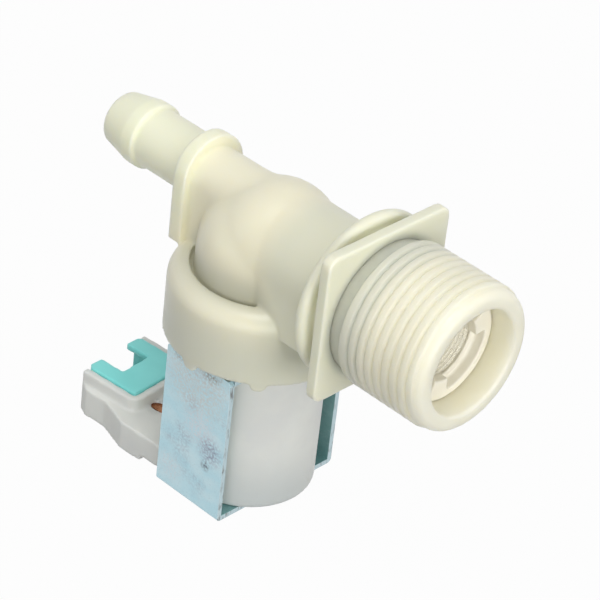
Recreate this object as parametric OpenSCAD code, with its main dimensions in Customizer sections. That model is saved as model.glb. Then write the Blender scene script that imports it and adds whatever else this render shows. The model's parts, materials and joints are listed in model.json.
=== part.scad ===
// Solenoid inlet valve of a washing machine, shown closed.
// Water comes in at +X and leaves through the hose barb at -X. The coil hangs below.
// The modules measure X from the coil axis. place() then moves the origin along the inlet
// axis to the middle of the thread.

/* [Inlet thread] */
// Outer radius of the thread, over its crests (G 3/4 pipe thread)
thread_r = 13.22; // [12.8:0.01:14.5]
// Distance from one crest to the next
thread_pitch = 1.814; // [1.6:0.001:2.2]
// Height of the thread, from root to crest
thread_depth = 1.16; // [0.6:0.01:1.3]
// Angle between a flank of the thread and a plane across the inlet
flank_angle = 27.5; // [25:0.5:30]
// Number of crests
thread_crests = 9; // [5:1:12]
// Width of the flat on top of a crest
crest_flat = 0.34; // [0.2:0.01:0.5]
// Plain neck between the flange and the foot of the first crest
neck_len = 2.8; // [2:0.1:5]
// Amount by which the neck is smaller than the crests
neck_step = 1.1; // [0.1:0.05:1.2]
// Plain nose in front of the last crest
nose_len = 2.2; // [1.5:0.1:5]
// Chamfer on the nose
nose_chamfer = 0.6; // [0.2:0.1:1]

/* [Inlet tube] */
// Distance from the coil axis to the front face of the square flange
flange_x = 26.2; // [24:0.1:34]
// Thickness of the square flange
flange_t = 2.1; // [1.2:0.1:2.2]
// Half the side of the square flange
flange_half = 14; // [13.5:0.1:20]
// Radius of the flange's corners
flange_corner = 2; // [0.5:0.1:4]
// Gap between the square flange and the round collar behind it
panel_gap = 1.4; // [0.8:0.1:2]
// Radius of the hub that bridges that gap
hub_r = 12.5; // [11:0.1:13]
// Thickness of the round collar
disc_t = 2.2; // [1.4:0.1:2.3]
// Radius of the round collar
disc_r = 15.1; // [14:0.1:18]
// Outer radius of the tube between the round collar and the dome
tube_r = 9.8; // [9.4:0.1:10.5]
// Radius of the mouth, where the filter sits
mouth_r = 9.6; // [9.2:0.05:10]
// Radius of the bore behind the filter's seat
strainer_bore_r = 8.6; // [8.2:0.05:8.7]
// Radius of the narrow bore that leads into the valve chamber
feed_bore_r = 7; // [5:0.1:7.4]
// Distance from the coil axis to the step that seats the flow regulator
regulator_x = 19; // [18:0.1:20]
// Distance from the coil axis to the blind end of the narrow bore
feed_end_x = 8; // [7.5:0.1:9]
// Depth of the ledge below the inlet axis
ledge_depth = 10.1; // [9.9:0.1:12]

/* [Filter] */
// Depth of the filter's ring inside the mouth
filter_depth = 4.9; // [2:0.1:6]
// Thickness of the filter's ring
filter_ring_t = 2.6; // [1.2:0.1:3]
// Width of the filter's ring, seen from the front
filter_ring_w = 1.5; // [1:0.1:2]
// Length of the filter's basket behind the ring
filter_basket_len = 11; // [6:0.1:12]
// Radius of the basket's closed end
filter_end_r = 5; // [3:0.1:6]
// Thickness of the basket's ribs, across and along the wall
filter_rib = 1.1; // [0.7:0.1:1.8]
// Reach of the grip lugs, from the ring towards the axis
filter_lug_reach = 2.2; // [1:0.1:4]
// Angle that one grip lug takes up
filter_lug_angle = 30; // [15:1:45]
// Angle between the first lug and straight up
filter_lug_turn = -72; // [-120:1:120]
// Number of grip lugs, and of ribs
filter_lugs = 3; // [3:1:6]
// Wall of the mesh
filter_mesh_t = 0.25; // [0.2:0.05:0.5]

/* [Flow regulator] */
// Length of the holder's cup
holder_len = 5.2; // [4:0.1:6]
// Wall of the holder's cup
holder_wall = 1.1; // [0.8:0.1:1.6]
// Thickness of the holder's floor
holder_floor = 1.8; // [1.2:0.1:2.4]
// Radius of the holder's middle pin
holder_pin_r = 1.5; // [1:0.1:2]
// Number of holes through the floor
holder_holes = 6; // [4:1:8]
// Radius of the holes through the floor
holder_hole_r = 1.2; // [0.6:0.1:1.4]
// Thickness of the rubber washer
washer_t = 2.6; // [1.5:0.1:3]
// Radius of the washer's hole
washer_hole_r = 2.6; // [2.3:0.1:3.2]
// Gap between the washer and the cup
washer_gap = 0.3; // [0.1:0.05:0.6]

/* [Dome and outlet] */
// Outer radius of the dome
dome_r = 12.2; // [12:0.1:13]
// Depth of the dome's centre below the inlet axis
dome_drop = 3.2; // [2:0.1:4]
// Radius of the rounded crown over the end of the inlet tube
crown_r = 11; // [10.6:0.1:11.4]
// Distance of the crown's centre from the coil axis, towards the inlet
crown_x = 1.8; // [0:0.05:2]
// Depth of the crown's centre below the inlet axis
crown_drop = 0.4; // [0:0.1:2]
// Height of the outlet axis above the inlet axis
outlet_z = 4.4; // [4:0.1:5]
// Radius of the outlet's bore
outlet_bore_r = 3.9; // [3:0.05:4]
// Outer radius of the outlet tube
outlet_r = 5.4; // [5.2:0.05:6]
// Distance from the coil axis to the inner face of the stop plate
stop_x = 14.2; // [13.6:0.1:18]
// Thickness of the stop plate
stop_t = 2.8; // [1.5:0.1:4]
// Half the width of the stop plate
stop_half = 6.9; // [6:0.1:9]
// Height of the centre of the stop plate's round top above the outlet axis
stop_rise = 0.4; // [0:0.1:1]
// Depth of the stop plate's lower edge below the inlet axis
stop_drop = 7.2; // [4:0.1:8]
// Length of the plain tube between the stop plate and the barb
barb_neck = 11.2; // [6:0.1:20]
// Radius of the barb's crest
barb_r = 6.08; // [5.9:0.01:7]
// Length of the slope at the back of the barb
barb_back = 0.5; // [0.2:0.1:1.5]
// Length of the barb's cylindrical crest
barb_land = 2.4; // [1.5:0.1:4]
// Length of the barb's cone, from the crest to the tip
barb_nose = 5.9; // [5:0.1:12]
// Outer radius of the barb's tip, before it is rounded
barb_tip_r = 5; // [4.9:0.05:5.4]
// Round on the barb's tip
barb_round = 0.8; // [0.3:0.1:1]

/* [Valve chamber] */
// Outer radius of the collar round the diaphragm
collar_r = 16.6; // [16.4:0.1:18]
// Depth of the collar's lower edge below the inlet axis
collar_drop = 19.5; // [19:0.1:20.4]
// Depth of the collar's upper lip below the inlet axis
lip_drop = 6.1; // [5.5:0.1:7]
// Inner radius of the collar's upper lip
lip_r = 13; // [12.8:0.1:13.4]
// Depth of the groove between the lip and the dome
moat_depth = 1.3; // [0.5:0.1:2]
// Radius of the collar's round shoulder
shoulder_r = 3.6; // [2:0.1:3.8]
// Radius of the cavity that holds the diaphragm
cavity_r = 13.5; // [13:0.1:14]
// Depth of the ledge that clamps the diaphragm
clamp_drop = 13; // [12.8:0.1:13.4]
// Outer radius of the ring-shaped inlet chamber
chamber_r = 10.2; // [9.5:0.1:10.4]
// Depth of the roof of the ring-shaped chamber
chamber_drop = 3; // [2:0.1:4]
// Radius of the hole in the valve seat
seat_bore_r = 4; // [3:0.1:4]
// Outer radius of the seat's tube
seat_r = 5.5; // [5.2:0.1:6]
// Height of the seat's edge above the clamping ledge
seat_rise = 0.7; // [0.3:0.1:1]
// Radius of the nubs below the collar
nub_r = 1.5; // [0.8:0.1:2]
// Thickness of the nubs
nub_t = 1.2; // [0.6:0.1:2]
// Number of nubs round the collar
nub_count = 8; // [4:1:12]

/* [Diaphragm] */
// Thickness of the diaphragm's rim
rim_t = 1.6; // [1:0.1:2]
// Width of the diaphragm's rim
rim_w = 2.9; // [2:0.1:3.1]
// Thickness of the diaphragm's web
web_t = 0.6; // [0.4:0.1:0.8]
// Radius of the thick middle of the diaphragm
pad_r = 6.3; // [6:0.1:6.6]
// Thickness of that middle
pad_t = 2; // [1.4:0.1:2.2]
// Radius of the insert's spigot, which passes through the diaphragm
spigot_r = 2.4; // [1.6:0.1:2.8]
// Radius of the insert's head inside the seat
insert_head_r = 3.4; // [3:0.1:3.7]
// Radius of the insert's plate below the diaphragm
insert_plate_r = 5.7; // [5:0.1:5.8]
// Thickness of the insert's plate
insert_plate_t = 0.9; // [0.6:0.1:1.2]
// Radius of the pilot hole
pilot_r = 0.5; // [0.3:0.05:0.8]
// Height of the boss round the pilot hole
pilot_boss = 0.8; // [0.4:0.1:1]
// Width of the boss's flat end round the pilot hole
pilot_rim = 0.5; // [0.3:0.1:0.8]
// Radius of the bleed hole
bleed_r = 0.35; // [0.2:0.05:0.5]

/* [Bonnet and plunger] */
// Thickness of the bonnet's floor
bonnet_floor = 1.5; // [1:0.1:2]
// Radius of the plunger
plunger_r = 4; // [3.5:0.05:4.2]
// Length of the plunger
plunger_len = 24; // [20:0.1:24.4]
// Wall of the guide tube
guide_wall = 0.9; // [0.7:0.05:1]
// Depth of the guide tube's closed end below the inlet axis
guide_drop = 46.8; // [46:0.1:48.4]
// Thickness of the guide tube's closed end
guide_end = 1.2; // [0.8:0.1:2]
// Radius of the spring's bore in the plunger
spring_bore_r = 2.6; // [2.3:0.05:2.8]
// Depth of the spring's bore in the plunger
spring_bore_len = 15; // [10:0.1:16]
// Wire radius of the spring
wire_r = 0.2; // [0.15:0.01:0.25]
// Number of turns in the spring
spring_turns = 10; // [6:1:14]
// Radius of the rubber seal in the plunger's tip
seal_r = 1.75; // [1.4:0.05:2]
// Length of the seal that stands out of the plunger
seal_proud = 1.5; // [0.8:0.1:1.6]
// Depth of the seal's pocket in the plunger
seal_pocket = 1.6; // [1:0.1:2.4]
// Width and depth of the grooves along the plunger
plunger_groove = 0.8; // [0.4:0.1:1]

/* [Coil] */
// Outer radius of the moulding over the coil
coil_r = 12.3; // [12:0.05:12.6]
// Depth of the top of the coil below the inlet axis
coil_top_drop = 21.6; // [21.6:0.05:22.6]
// Skin of plastic over the ends of the bobbin
coil_skin = 1; // [0.6:0.1:1.4]
// Round on the coil's lower edge
coil_round = 0.8; // [0.3:0.1:1.2]
// Radius of the bobbin's bore, which holds the pole sleeves
bobbin_bore_r = 6.2; // [6.1:0.05:6.4]
// Wall of the bobbin's barrel
bobbin_wall = 0.9; // [0.6:0.1:1.2]
// Radius of the bobbin's flanges
bobbin_flange_r = 11.2; // [10.5:0.1:11.4]
// Thickness of the bobbin's flanges
bobbin_flange_t = 1; // [0.8:0.1:1.5]
// Depth to which the winding stays below the flange's edge
winding_margin = 0.6; // [0.3:0.1:1.5]
// Length of a pole sleeve
sleeve_len = 9.5; // [6:0.1:11]
// Wall of a pole sleeve
sleeve_wall = 1; // [0.6:0.05:1.05]
// Width of a pole sleeve's open seam
sleeve_seam = 0.5; // [0.2:0.1:1]

/* [Yoke] */
// Thickness of the yoke's sheet steel
sheet_t = 1; // [0.8:0.1:1.2]
// Half the width of the yoke
yoke_half_w = 7.73; // [7:0.05:8.4]
// Gap between the coil and each side plate
yoke_gap = 0.72; // [0.6:0.02:1.2]
// Depth of the yoke's lowest face below the inlet axis
yoke_drop = 50.04; // [49.9:0.02:51]
// Chamfer on the sheet's corners
sheet_corner = 0.7; // [0.2:0.1:1.2]
// Outer radius of the yoke's bends
bend_r = 0.9; // [0.3:0.1:1.2]
// Width of the tabs that hold the top plate
tab_w = 3.4; // [2:0.1:4]
// Distance of each tab from the middle of the plate
tab_x = 3.9; // [3:0.1:4.5]

/* [Connector] */
// Angle between the connector and the outlet
plug_turn = 4.7; // [0:0.1:10]
// Distance from the coil axis to the socket's mouth
plug_reach = 32.2; // [31:0.1:36]
// Length of the socket block
plug_len = 11.4; // [10.4:0.1:12]
// Width of the socket block
plug_w = 13.4; // [12.4:0.1:15]
// Height of the block's underside above the coil's lower face
plug_lift = 0.24; // [0.1:0.02:0.5]
// Height of the socket block
plug_h = 7.3; // [7:0.1:7.6]
// Thickness of the block's top plate and floor
plug_plate = 1.3; // [1:0.05:1.4]
// Thickness of the block's side walls
plug_wall = 1.4; // [1:0.1:1.8]
// Thickness of the block's back wall
plug_back = 2; // [1.5:0.1:3]
// Width of the notch for the plug's latch
notch_w = 6.7; // [4:0.1:8]
// Length of the notch
notch_len = 5.3; // [3:0.1:7]
// Chamfer on the tips beside the notch
tip_chamfer = 0.7; // [0.3:0.1:1.2]
// Wall of the white rim round the block
rim_wall = 1.4; // [1:0.1:2]
// Amount by which the block stands above the rim
rim_step = 0.4; // [0.2:0.1:0.8]
// Height of the rim's outer face, above the shelf
rim_h = 2.6; // [1.5:0.1:3.2]
// Round on the rim's corners
rim_corner = 2; // [1:0.1:3]
// Half the width of the body below the shelf
shelf_half = 9.15; // [8.2:0.05:10]
// Half the width of that body beside the coil
flare_half = 11.5; // [10.5:0.1:12]
// Length over which the body flares, from the block's back face outwards
flare_out = 4.8; // [3:0.1:6]
// Angle round the coil axis at which the flare meets the coil
flare_turn = 12; // [5:1:20]
// Distance from the coil axis to the step in the lower body's floor
foot_x = 14.4; // [14.1:0.1:17]
// Radius of the hole left by the mould's core pin
pin_hole_r = 1.6; // [1:0.1:2]
// Distance between the middles of the two terminals
blade_pitch = 5; // [4:0.1:6]
// Width of a terminal
blade_w = 2.8; // [2:0.1:3]
// Thickness of a terminal
blade_t = 0.8; // [0.5:0.1:0.8]
// Length of a terminal inside the socket
blade_len = 5; // [3:0.1:6]

/* [Hidden] */
// Facets of a full circle
$fn = 72;
// Small overlap that joins solids and opens cuts
eps = 0.1;
// Gap between parts that slide on each other
run_gap = 0.06;
// Gap between parts that are pushed together
seat_gap = 0.1;
// Gap between round parts that touch all round
skin_gap = 0.05;

// Inlet, along X
root_r = thread_r - thread_depth;
neck_r = thread_r - neck_step;
crest_half = crest_flat / 2 + thread_depth * tan(flank_angle);
first_crest_x = flange_x + neck_len + crest_half;
last_crest_x = first_crest_x + (thread_crests - 1) * thread_pitch;
origin_x = (first_crest_x + last_crest_x) / 2;
mouth_x = last_crest_x + nose_len;
flange_back_x = flange_x - flange_t;
disc_front_x = flange_back_x - panel_gap;
disc_back_x = disc_front_x - disc_t;
filter_front_x = mouth_x - filter_depth;
filter_seat_x = filter_front_x - filter_ring_t;
filter_end_x = filter_seat_x - filter_basket_len;
filter_r = mouth_r - seat_gap;
filter_hole_r = filter_r - filter_ring_w;
basket_r = strainer_bore_r - 2 * seat_gap;
holder_r = strainer_bore_r - seat_gap;
washer_r = holder_r - holder_wall - washer_gap;

// Outlet, along -X
stop_out_x = stop_x + stop_t;
stop_top_z = outlet_z + stop_rise;
barb_back_x = stop_out_x + barb_neck;
barb_land_x = barb_back_x + barb_back;
barb_cone_x = barb_land_x + barb_land;
outlet_end_x = barb_cone_x + barb_nose;

// Valve chamber, along Z
seat_z = -clamp_drop + seat_rise;
rim_z = -clamp_drop - rim_t;
rim_out_r = cavity_r - seat_gap;
rim_in_r = rim_out_r - rim_w;
pad_z = seat_z - skin_gap - pad_t;
plate_z = pad_z - skin_gap - insert_plate_t;
boss_z = plate_z - pilot_boss;
boss_r = pilot_r + pilot_rim;
web_mid_r = (pad_r + rim_in_r) / 2;
web_wave_r = (rim_in_r - pad_r + web_t) / 2;

// Yoke and coil, along Z
yoke_low_z = -yoke_drop;
coil_low_z = yoke_low_z + sheet_t;
coil_top_z = -coil_top_drop;
top_plate_z = coil_top_z + seat_gap;
bonnet_z = top_plate_z + sheet_t;
bobbin_low_z = coil_low_z + coil_skin;
bobbin_top_z = coil_top_z - coil_skin;
winding_r = bobbin_flange_r - winding_margin;
barrel_r = bobbin_bore_r + bobbin_wall;
sleeve_r = bobbin_bore_r - skin_gap;
yoke_in = coil_r + yoke_gap;
yoke_half_d = yoke_in + sheet_t;

// Bonnet and plunger, along Z
bonnet_r = cavity_r - 2 * seat_gap;
bonnet_recess_r = rim_in_r + web_t / 2;
recess_z = bonnet_z + bonnet_floor;
guide_bore_r = plunger_r + run_gap;
guide_r = guide_bore_r + guide_wall;
guide_low_z = -guide_drop;
guide_floor_z = guide_low_z + guide_end;
seal_top_z = boss_z - seat_gap;
plunger_top_z = seal_top_z - seal_proud;
plunger_low_z = plunger_top_z - plunger_len;
spring_top_z = plunger_low_z + spring_bore_len;
spring_r = spring_bore_r - 2 * wire_r - seat_gap;
bonnet_top_z = rim_z;

// Connector, along its own X, with its own Y towards the near side
plug_back_x = plug_reach - plug_len;
plug_low_z = coil_low_z + plug_lift;
plug_top_z = plug_low_z + plug_h;
rim_top_z = plug_top_z - rim_step;
shelf_z = rim_top_z - rim_h;
shell_low_z = plug_low_z - rim_wall;
rim_half = plug_w / 2 + rim_wall;
rim_back_x = plug_back_x - rim_wall;
socket_x = plug_back_x + plug_back;
socket_half = plug_w / 2 - plug_wall;
blade_z = (plug_top_z + plug_low_z) / 2 - blade_t / 2;
blade_tail_x = bobbin_flange_r + seat_gap;
pin_hole_x = rim_back_x - pin_hole_r + seat_gap;
pin_hole_y = blade_pitch / 2 + blade_w / 2;

// Rings and sides of the spring's wire, for each turn
wire_rings = 12;
wire_sides = 6;

// Moves a finished piece from the coil axis to the part's own origin.
module place() {
    translate([-origin_x, 0, 0]) children();
}

// A rectangle in a turned profile: radii r0 to r1, from a to b along the axis.
module band(r0, r1, a, b) {
    translate([r0, a]) square([r1 - r0, b - a]);
}

// Turns a profile round the inlet axis, or round one parallel to it.
module turned_x(z = 0) {
    translate([0, 0, z]) rotate([0, 90, 0]) rotate_extrude() children();
}

// A round hole along X.
module hole_x(r, x0, x1, z = 0) {
    translate([x0, 0, z]) rotate([0, 90, 0]) cylinder(r = r, h = x1 - x0);
}

// A round bar or hole along Z.
module rod_z(r, z0, z1) {
    translate([0, 0, z0]) cylinder(r = r, h = z1 - z0);
}

// A ring round the coil axis.
module ring_z(r0, r1, z0, z1) {
    rotate_extrude() band(r0, r1, z0, z1);
}

// A rectangle with round corners, centred.
module round_rect(half_x, half_y, corner) {
    square([2 * half_x, 2 * (half_y - corner)], center = true);
    square([2 * (half_x - corner), 2 * half_y], center = true);
    for (sx = [-1, 1], sy = [-1, 1])
        translate([sx * (half_x - corner), sy * (half_y - corner)]) circle(r = corner);
}

// Puts the connector's own X and Y in place.
module plug_place() {
    rotate([0, 0, 180 + plug_turn]) children();
}

// The threaded nose, the neck and the two collars, as one turned profile.
module inlet_profile() {
    band(0, tube_r, 0, disc_back_x + eps);
    band(0, disc_r - disc_t / 2, disc_back_x, disc_front_x);
    translate([disc_r - disc_t / 2, disc_back_x + disc_t / 2]) circle(r = disc_t / 2);
    band(0, hub_r, disc_front_x - eps, flange_back_x + eps);
    band(0, neck_r, flange_x - eps, flange_x + neck_len);
    band(0, root_r, flange_x - eps, mouth_x - nose_chamfer);
    polygon([[0, mouth_x - nose_chamfer - eps], [root_r, mouth_x - nose_chamfer],
             [root_r - nose_chamfer, mouth_x], [0, mouth_x]]);
    for (i = [0:thread_crests - 1])
        translate([0, first_crest_x + i * thread_pitch])
            polygon([[root_r - eps, -crest_half], [root_r, -crest_half],
                     [thread_r, -crest_flat / 2], [thread_r, crest_flat / 2],
                     [root_r, crest_half], [root_r - eps, crest_half]]);
}

module inlet_tube() {
    turned_x() inlet_profile();
    translate([flange_back_x, 0, 0]) rotate([90, 0, 90])
        linear_extrude(flange_t) round_rect(flange_half, flange_half, flange_corner);
    // The straight sides that carry the tube down to the collar.
    translate([0, -tube_r, -ledge_depth]) cube([disc_back_x + eps, 2 * tube_r, ledge_depth]);
}

module dome() {
    rod_z(dome_r, -clamp_drop, -dome_drop);
    translate([0, 0, -dome_drop]) sphere(r = dome_r);
    translate([crown_x, 0, -crown_drop]) sphere(r = crown_r);
}

// The hose barb, its stop plate and the neck that joins them to the dome.
module outlet() {
    mirror([1, 0, 0]) turned_x(outlet_z) {
        band(0, outlet_r, 0, barb_back_x + eps);
        polygon([[0, barb_back_x], [outlet_r, barb_back_x], [barb_r, barb_land_x],
                 [barb_r, barb_cone_x], [barb_tip_r, outlet_end_x - barb_round],
                 [0, outlet_end_x - barb_round]]);
        band(0, barb_tip_r - barb_round, barb_cone_x, outlet_end_x);
        translate([barb_tip_r - barb_round, outlet_end_x - barb_round]) circle(r = barb_round);
    }
    // The web below the neck, from inside the dome to the stop plate.
    translate([-stop_x - eps, -outlet_r, -lip_drop - moat_depth - eps])
        cube([stop_x + eps, 2 * outlet_r, outlet_z + lip_drop + moat_depth + eps]);
    stop_plate();
}

// The stop plate, round at the top.
module stop_plate() {
    translate([-stop_out_x, 0, 0]) rotate([90, 0, 90]) linear_extrude(stop_t) {
        translate([0, stop_top_z]) circle(r = stop_half);
        translate([-stop_half, -stop_drop]) square([2 * stop_half, stop_drop + stop_top_z]);
    }
}

// The collar round the diaphragm, with its round shoulder and nubs.
module collar() {
    shoulder_z = -lip_drop - shoulder_r;
    rotate_extrude() {
        band(dome_r - eps, lip_r, -clamp_drop - eps, -lip_drop - moat_depth);
        band(lip_r - eps, collar_r, -collar_drop, shoulder_z);
        intersection() {
            translate([collar_r - shoulder_r, shoulder_z]) circle(r = shoulder_r);
            band(lip_r, collar_r + eps, shoulder_z - eps, 0);
        }
    }
    for (i = [0:nub_count - 1])
        rotate([0, 0, i * 360 / nub_count])
            translate([collar_r - nub_t - eps, 0, -collar_drop])
                rotate([0, 90, 0]) cylinder(r = nub_r, h = nub_t);
}

// Everything that water fills, from the mouth to the barb.
module waterway() {
    hole_x(mouth_r, filter_seat_x, mouth_x + eps);
    hole_x(strainer_bore_r, regulator_x, filter_seat_x + eps);
    hole_x(feed_bore_r, feed_end_x, regulator_x + eps);
    ring_z(seat_r, chamber_r, seat_z - eps, -chamber_drop);
    rod_z(chamber_r, -clamp_drop - eps, seat_z);
    rod_z(seat_bore_r, seat_z - eps, outlet_z);
    translate([0, 0, outlet_z]) sphere(r = seat_bore_r);
    hole_x(outlet_bore_r, -outlet_end_x - eps, 0, outlet_z);
    rod_z(cavity_r, -collar_drop - nub_r - eps, -clamp_drop);
}

module valve_body() {
    color("cornsilk") difference() {
        union() {
            inlet_tube();
            dome();
            outlet();
            collar();
        }
        waterway();
    }
}

// The filter's wall, as a cone that narrows towards its closed end.
module basket_shell(outside, inside) {
    turned_x() polygon([
        [basket_r - outside, filter_seat_x], [filter_end_r - outside, filter_end_x],
        [filter_end_r - inside, filter_end_x], [basket_r - inside, filter_seat_x]]);
}

module filter_frame() {
    color("lightyellow") {
        turned_x() {
            band(filter_hole_r, filter_r, filter_seat_x, filter_front_x);
            band(filter_hole_r - filter_rib, filter_r, filter_seat_x, filter_seat_x + filter_rib / 2);
            band(0, filter_end_r, filter_end_x - filter_rib, filter_end_x);
        }
        intersection() {
            basket_shell(0, filter_rib);
            rib_star(filter_rib);
        }
        intersection() {
            turned_x() band(filter_hole_r - filter_lug_reach, filter_hole_r + eps,
                            filter_seat_x + filter_rib / 2, filter_front_x);
            lug_star();
        }
    }
}

// Wedges round the inlet axis, one for each lug.
module lug_star() {
    half = filter_r * tan(filter_lug_angle / 2);
    for (i = [0:filter_lugs - 1])
        rotate([filter_lug_turn + i * 360 / filter_lugs, 0, 0])
            translate([filter_seat_x, 0, 0]) rotate([90, 0, 90])
                linear_extrude(filter_ring_t + eps)
                    polygon([[0, 0], [half, filter_r], [-half, filter_r]]);
}

// Flat arms round the inlet axis, one for each rib.
module rib_star(w) {
    for (i = [0:filter_lugs - 1])
        rotate([i * 360 / filter_lugs, 0, 0])
            translate([filter_end_x - eps, -w / 2, 0])
                cube([filter_front_x - filter_end_x + 2 * eps, w, filter_r]);
}

module filter_mesh() {
    color("gainsboro") basket_shell(filter_rib + skin_gap, filter_rib + skin_gap + filter_mesh_t);
}

// The cup of the flow regulator, with a middle pin and a ring of holes.
module flow_holder() {
    washer_x = regulator_x + holder_floor;
    hole_ring_r = (washer_hole_r + washer_r) / 2;
    color("white") difference() {
        turned_x() {
            band(0, holder_r, regulator_x, washer_x);
            band(holder_r - holder_wall, holder_r, regulator_x, regulator_x + holder_len);
            band(0, holder_pin_r, regulator_x, regulator_x + holder_len);
        }
        for (i = [0:holder_holes - 1])
            rotate([i * 360 / holder_holes, 0, 0])
                hole_x(holder_hole_r, regulator_x - eps, washer_x + eps, hole_ring_r);
    }
}

module flow_washer() {
    washer_x = regulator_x + holder_floor;
    color("dimgray") turned_x()
        band(washer_hole_r, washer_r, washer_x, washer_x + washer_t);
}

// Rubber: a thick rim, a thin wavy web and a thick middle on the seat.
module diaphragm() {
    web_z = rim_z + web_t;
    color("darkslategray") rotate_extrude() {
        band(rim_in_r, rim_out_r, rim_z, -clamp_drop);
        band(spigot_r + skin_gap, pad_r, pad_z, pad_z + pad_t);
        difference() {
            translate([web_mid_r, web_z]) circle(r = web_wave_r);
            translate([web_mid_r, web_z]) circle(r = web_wave_r - web_t);
            translate([0, web_z]) square([cavity_r, cavity_r]);
        }
    }
}

// The insert clamps the diaphragm's middle and carries the pilot seat.
module diaphragm_insert() {
    head_z = pad_z + pad_t;
    bleed_at = (spigot_r + insert_plate_r) / 2;
    color("ivory") difference() {
        rotate_extrude() {
            band(0, insert_plate_r, plate_z, pad_z - skin_gap);
            band(0, spigot_r, plate_z, head_z + skin_gap);
            polygon([[0, head_z + skin_gap], [insert_head_r, head_z + skin_gap],
                     [spigot_r, head_z + insert_plate_t], [0, head_z + insert_plate_t]]);
            polygon([[0, boss_z], [boss_r, boss_z], [boss_r + pilot_boss, plate_z + eps],
                     [0, plate_z + eps]]);
        }
        rod_z(pilot_r, boss_z - eps, head_z + insert_plate_t + eps);
        translate([bleed_at, 0, 0]) rod_z(bleed_r, plate_z - eps, pad_z);
    }
}

// The cover below the diaphragm, in one piece with the plunger's guide tube.
module bonnet() {
    color("whitesmoke") rotate_extrude() difference() {
        union() {
            band(0, bonnet_r, bonnet_z, bonnet_top_z);
            band(0, guide_r, guide_low_z, bonnet_z + eps);
        }
        band(0, bonnet_recess_r, recess_z, bonnet_top_z + eps);
        band(0, guide_bore_r, guide_floor_z, recess_z + eps);
    }
}

module plunger() {
    color("silver") difference() {
        rod_z(plunger_r, plunger_low_z, plunger_top_z);
        rod_z(spring_bore_r, plunger_low_z - eps, spring_top_z);
        rod_z(seal_r + skin_gap, plunger_top_z - seal_pocket, plunger_top_z + eps);
        // Grooves that let water pass the plunger.
        for (a = [0, 180])
            rotate([0, 0, a]) translate([plunger_r - plunger_groove, -plunger_groove / 2, plunger_low_z - eps])
                cube([plunger_groove + eps, plunger_groove, plunger_len + 2 * eps]);
    }
}

module plunger_seal() {
    color("black") rod_z(seal_r, plunger_top_z - seal_pocket, seal_top_z);
}

// A wire along a helix, as rings of points round its middle line.
function helix_point(t, turns, r, z0, rise) =
    [r * cos(t * turns * 360), r * sin(t * turns * 360), z0 + rise * t];
function helix_ring(t, turns, r, z0, rise, wire, sides) =
    let (p = helix_point(t, turns, r, z0, rise), a = t * turns * 360)
    [for (k = [0:sides - 1])
        let (b = k * 360 / sides)
        [p[0] + wire * cos(b) * cos(a), p[1] + wire * cos(b) * sin(a), p[2] + wire * sin(b)]];
module helix_wire(turns, r, z0, rise, wire, steps, sides) {
    n = turns * steps;
    rings = [for (i = [0:n]) helix_ring(i / n, turns, r, z0, rise, wire, sides)];
    points = [for (ring = rings) each ring];
    walls = [for (i = [0:n - 1], k = [0:sides - 1])
        let (m = (k + 1) % sides, a = i * sides, b = (i + 1) * sides)
        each [[a + k, b + k, b + m], [a + k, b + m, a + m]]];
    low = [[for (k = [0:sides - 1]) k]];
    high = [[for (k = [sides - 1:-1:0]) n * sides + k]];
    polyhedron(points, concat(walls, low, high));
}

module plunger_spring() {
    low = guide_floor_z + wire_r + seat_gap;
    high = spring_top_z - wire_r - seat_gap;
    color("lightgray")
        helix_wire(spring_turns, spring_r, low, high - low, wire_r, wire_rings, wire_sides);
}

// A rolled steel sleeve with an open seam.
module pole_sleeve(z0) {
    color("lightsteelblue") difference() {
        ring_z(sleeve_r - sleeve_wall, sleeve_r, z0, z0 + sleeve_len);
        translate([sleeve_r - 2 * sleeve_wall, -sleeve_seam / 2, z0 - eps])
            cube([3 * sleeve_wall, sleeve_seam, sleeve_len + 2 * eps]);
    }
}

module pole_sleeve_upper() {
    pole_sleeve(bonnet_z - sleeve_len);
}

module pole_sleeve_lower() {
    pole_sleeve(yoke_low_z);
}

// The socket block, solid, with a chamfer on the outer corner of each tip.
module socket_block() {
    half = plug_w / 2;
    chamfer_x = plug_reach - tip_chamfer;
    translate([0, 0, plug_low_z]) linear_extrude(plug_h)
        polygon([[plug_back_x, -half], [chamfer_x, -half], [plug_reach, -half + tip_chamfer],
                 [plug_reach, half - tip_chamfer], [chamfer_x, half], [plug_back_x, half]]);
}

module socket_space() {
    translate([socket_x, -socket_half, plug_low_z + plug_plate])
        cube([plug_len, 2 * socket_half, plug_h - 2 * plug_plate]);
    translate([plug_reach - notch_len, -notch_w / 2, plug_top_z - 2 * plug_plate])
        cube([plug_len, notch_w, 3 * plug_plate]);
}

// The arm below the terminals, from the bobbin's lower flange to the block.
module bridge() {
    arm_x = (barrel_r + bobbin_flange_r) / 2;
    arm_half = plug_w / 2 - plug_wall / 2;
    difference() {
        translate([arm_x, -arm_half, bobbin_low_z])
            cube([plug_back_x - arm_x + eps, 2 * arm_half, blade_z - bobbin_low_z]);
        rod_z(winding_r + 2 * seat_gap, bobbin_low_z + bobbin_flange_t, bobbin_top_z);
    }
}

module blade(side) {
    translate([blade_tail_x, side * blade_pitch / 2 - blade_w / 2, blade_z])
        cube([socket_x + blade_len - blade_tail_x, blade_w, blade_t]);
}

module coil_bobbin() {
    color("mediumturquoise") {
        ring_z(bobbin_bore_r, barrel_r, bobbin_low_z, bobbin_top_z);
        ring_z(bobbin_bore_r, bobbin_flange_r, bobbin_low_z, bobbin_low_z + bobbin_flange_t);
        ring_z(bobbin_bore_r, bobbin_flange_r, bobbin_top_z - bobbin_flange_t, bobbin_top_z);
        plug_place() difference() {
            union() {
                socket_block();
                bridge();
            }
            socket_space();
            blade(1);
            blade(-1);
        }
    }
}

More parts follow.
